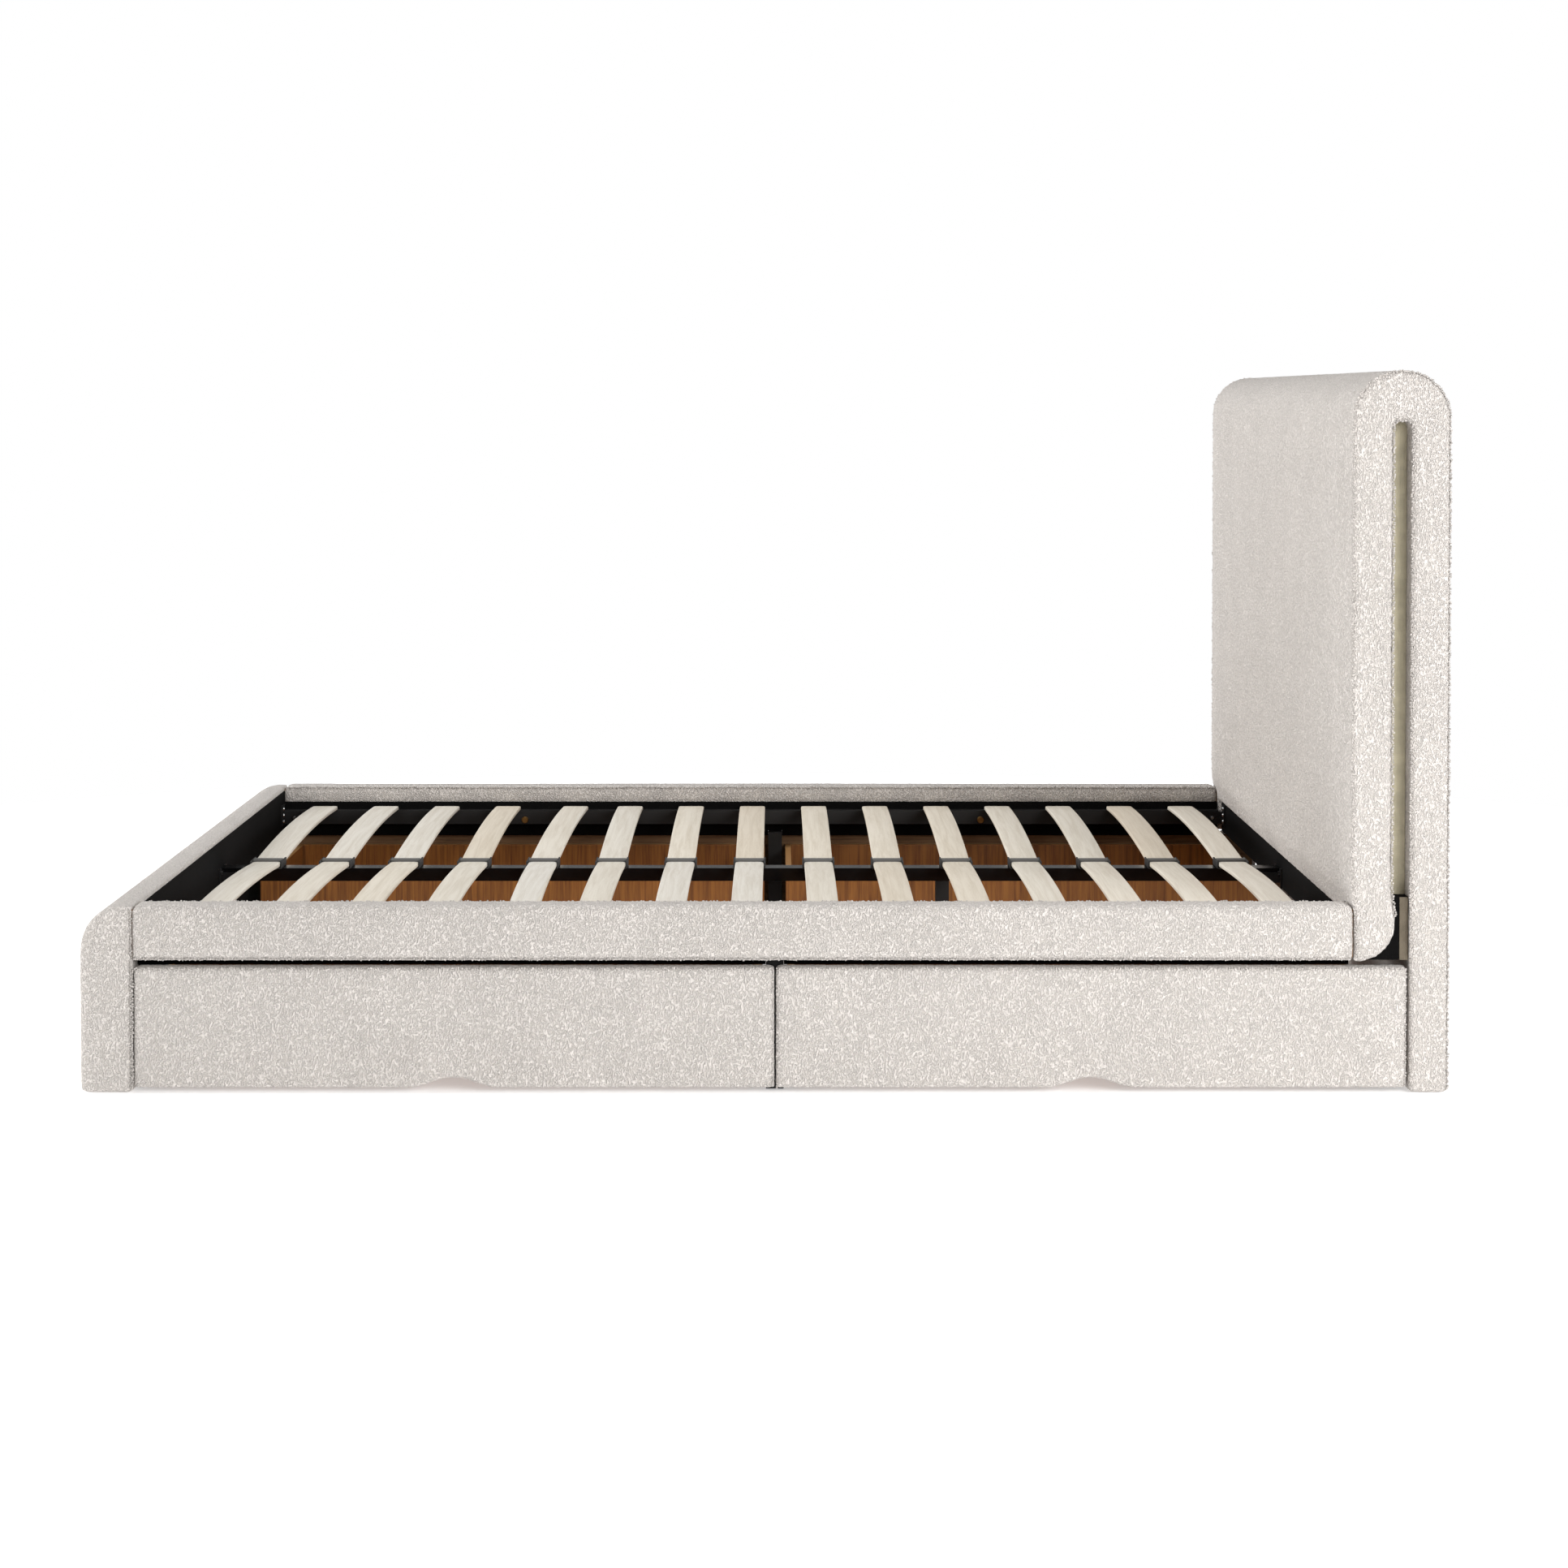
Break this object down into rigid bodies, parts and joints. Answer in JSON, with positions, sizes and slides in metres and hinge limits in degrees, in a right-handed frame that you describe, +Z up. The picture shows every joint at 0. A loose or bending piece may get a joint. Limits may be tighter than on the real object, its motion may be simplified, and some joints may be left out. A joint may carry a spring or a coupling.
{
  "type": "upholstered headboard bed",
  "caption": "Upholstered platform bed with a tall folded headboard, sprung slats and rolling storage drawers in its sides.",
  "frame": {"origin": "on the floor, under the middle of the bed's outline", "axes": "+Z up, +Y towards the headboard, +X to the right side of someone lying on their back in the bed"},
  "size_m": [1.64, 2.304, 1.2178],
  "materials": {
    "boucle_upholstery": "cream boucle cloth over foam, looped nubby pile, matt",
    "black_lining": "black lining cloth stretched on board, matt",
    "beige_lining": "plain beige cloth on board, matt",
    "black_painted_board": "batten painted black, satin",
    "black_steel": "steel, black powder coat, satin",
    "black_gloss_steel": "rectangular steel tube, black baked enamel, glossy",
    "zinc_steel": "zinc-plated steel, bright",
    "bronze_bolt": "yellow-passivated bolt heads, worn",
    "grey_rubber": "dark grey moulded rubber, matt",
    "wheel_rubber": "hard black rubber wheel, satin",
    "birch_slat": "laminated birch, pale, sanded and clear-sealed, satin",
    "raw_board": "unfinished board inside the padding, matt",
    "walnut_box_board": "brown wood-grain laminated board, satin",
    "bottom_board": "thin fibre board with a brown wood-grain face, matt"
  },
  "bodies": {
    "bed_frame": {"footboard_core": "raw_board", "footboard_cover": "boucle_upholstery", "rail_core_right": "raw_board", "rail_core_left": "raw_board", "rail_cover_right": "boucle_upholstery", "rail_cover_left": "boucle_upholstery", "rail_lining_right": "black_lining", "rail_lining_left": "black_lining", "foot_lining": "black_lining", "head_lining": "black_lining", "headboard_back_core": "raw_board", "headboard_front_core": "raw_board", "headboard_top_core": "raw_board", "headboard_cover": "boucle_upholstery", "headboard_spacer": "black_lining", "headboard_slot_panel": "beige_lining", "slat_ledge_right": "black_painted_board", "slat_ledge_left": "black_painted_board", "slats_right": "birch_slat", "slats_left": "birch_slat", "slat_caps": "grey_rubber", "centre_rail": "black_gloss_steel", "centre_rail_brackets": "zinc_steel", "centre_legs": "black_steel", "side_posts": "black_painted_board", "corner_brackets": "black_steel", "corner_screws": "zinc_steel", "ledge_bolts": "bronze_bolt"},
    "right_foot_drawer": {"right_foot_front_board": "raw_board", "right_foot_front_cover": "boucle_upholstery", "right_foot_box_sides": "walnut_box_board", "right_foot_box_long_walls": "walnut_box_board", "right_foot_box_bottom": "bottom_board", "right_foot_casters": "black_steel"},
    "right_foot_wheels_outer": {"right_foot_wheels_outer": "wheel_rubber"},
    "right_foot_wheels_inner": {"right_foot_wheels_inner": "wheel_rubber"},
    "right_head_drawer": {"right_head_front_board": "raw_board", "right_head_front_cover": "boucle_upholstery", "right_head_box_sides": "walnut_box_board", "right_head_box_long_walls": "walnut_box_board", "right_head_box_bottom": "bottom_board", "right_head_casters": "black_steel"},
    "right_head_wheels_outer": {"right_head_wheels_outer": "wheel_rubber"},
    "right_head_wheels_inner": {"right_head_wheels_inner": "wheel_rubber"},
    "left_foot_drawer": {"left_foot_front_board": "raw_board", "left_foot_front_cover": "boucle_upholstery", "left_foot_box_sides": "walnut_box_board", "left_foot_box_long_walls": "walnut_box_board", "left_foot_box_bottom": "bottom_board", "left_foot_casters": "black_steel"},
    "left_foot_wheels_outer": {"left_foot_wheels_outer": "wheel_rubber"},
    "left_foot_wheels_inner": {"left_foot_wheels_inner": "wheel_rubber"},
    "left_head_drawer": {"left_head_front_board": "raw_board", "left_head_front_cover": "boucle_upholstery", "left_head_box_sides": "walnut_box_board", "left_head_box_long_walls": "walnut_box_board", "left_head_box_bottom": "bottom_board", "left_head_casters": "black_steel"},
    "left_head_wheels_outer": {"left_head_wheels_outer": "wheel_rubber"},
    "left_head_wheels_inner": {"left_head_wheels_inner": "wheel_rubber"}
  },
  "joints": [
    {"name": "right_foot_drawer_slide", "type": "slide", "parent": "bed_frame", "child": "right_foot_drawer", "axis": [1, 0, 0], "range_m": [0, 0.44]},
    {"name": "right_foot_wheels_outer_spin", "type": "hinge", "parent": "right_foot_drawer", "child": "right_foot_wheels_outer", "pos_m": [0.726, -0.5195, 0.014], "axis": [0, 1, 0], "range_deg": [-5, 1810]},
    {"name": "right_foot_wheels_inner_spin", "type": "hinge", "parent": "right_foot_drawer", "child": "right_foot_wheels_inner", "pos_m": [0.346, -0.5195, 0.014], "axis": [0, 1, 0], "range_deg": [-5, 1810]},
    {"name": "right_head_drawer_slide", "type": "slide", "parent": "bed_frame", "child": "right_head_drawer", "axis": [1, 0, 0], "range_m": [0, 0.44]},
    {"name": "right_head_wheels_outer_spin", "type": "hinge", "parent": "right_head_drawer", "child": "right_head_wheels_outer", "pos_m": [0.726, 0.525, 0.014], "axis": [0, 1, 0], "range_deg": [-5, 1810]},
    {"name": "right_head_wheels_inner_spin", "type": "hinge", "parent": "right_head_drawer", "child": "right_head_wheels_inner", "pos_m": [0.346, 0.525, 0.014], "axis": [0, 1, 0], "range_deg": [-5, 1810]},
    {"name": "left_foot_drawer_slide", "type": "slide", "parent": "bed_frame", "child": "left_foot_drawer", "axis": [-1, 0, 0], "range_m": [0, 0.44]},
    {"name": "left_foot_wheels_outer_spin", "type": "hinge", "parent": "left_foot_drawer", "child": "left_foot_wheels_outer", "pos_m": [-0.726, -0.5195, 0.014], "axis": [0, -1, 0], "range_deg": [-5, 1810]},
    {"name": "left_foot_wheels_inner_spin", "type": "hinge", "parent": "left_foot_drawer", "child": "left_foot_wheels_inner", "pos_m": [-0.346, -0.5195, 0.014], "axis": [0, -1, 0], "range_deg": [-5, 1810]},
    {"name": "left_head_drawer_slide", "type": "slide", "parent": "bed_frame", "child": "left_head_drawer", "axis": [-1, 0, 0], "range_m": [0, 0.44]},
    {"name": "left_head_wheels_outer_spin", "type": "hinge", "parent": "left_head_drawer", "child": "left_head_wheels_outer", "pos_m": [-0.726, 0.525, 0.014], "axis": [0, -1, 0], "range_deg": [-5, 1810]},
    {"name": "left_head_wheels_inner_spin", "type": "hinge", "parent": "left_head_drawer", "child": "left_head_wheels_inner", "pos_m": [-0.346, 0.525, 0.014], "axis": [0, -1, 0], "range_deg": [-5, 1810]}
  ],
  "couplings": [
    {"joint": "right_foot_wheels_outer_spin", "follows": "right_foot_drawer_slide", "rad_per_m": 71.429},
    {"joint": "right_foot_wheels_inner_spin", "follows": "right_foot_drawer_slide", "rad_per_m": 71.429},
    {"joint": "right_head_wheels_outer_spin", "follows": "right_head_drawer_slide", "rad_per_m": 71.429},
    {"joint": "right_head_wheels_inner_spin", "follows": "right_head_drawer_slide", "rad_per_m": 71.429},
    {"joint": "left_foot_wheels_outer_spin", "follows": "left_foot_drawer_slide", "rad_per_m": 71.429},
    {"joint": "left_foot_wheels_inner_spin", "follows": "left_foot_drawer_slide", "rad_per_m": 71.429},
    {"joint": "left_head_wheels_outer_spin", "follows": "left_head_drawer_slide", "rad_per_m": 71.429},
    {"joint": "left_head_wheels_inner_spin", "follows": "left_head_drawer_slide", "rad_per_m": 71.429}
  ]
}
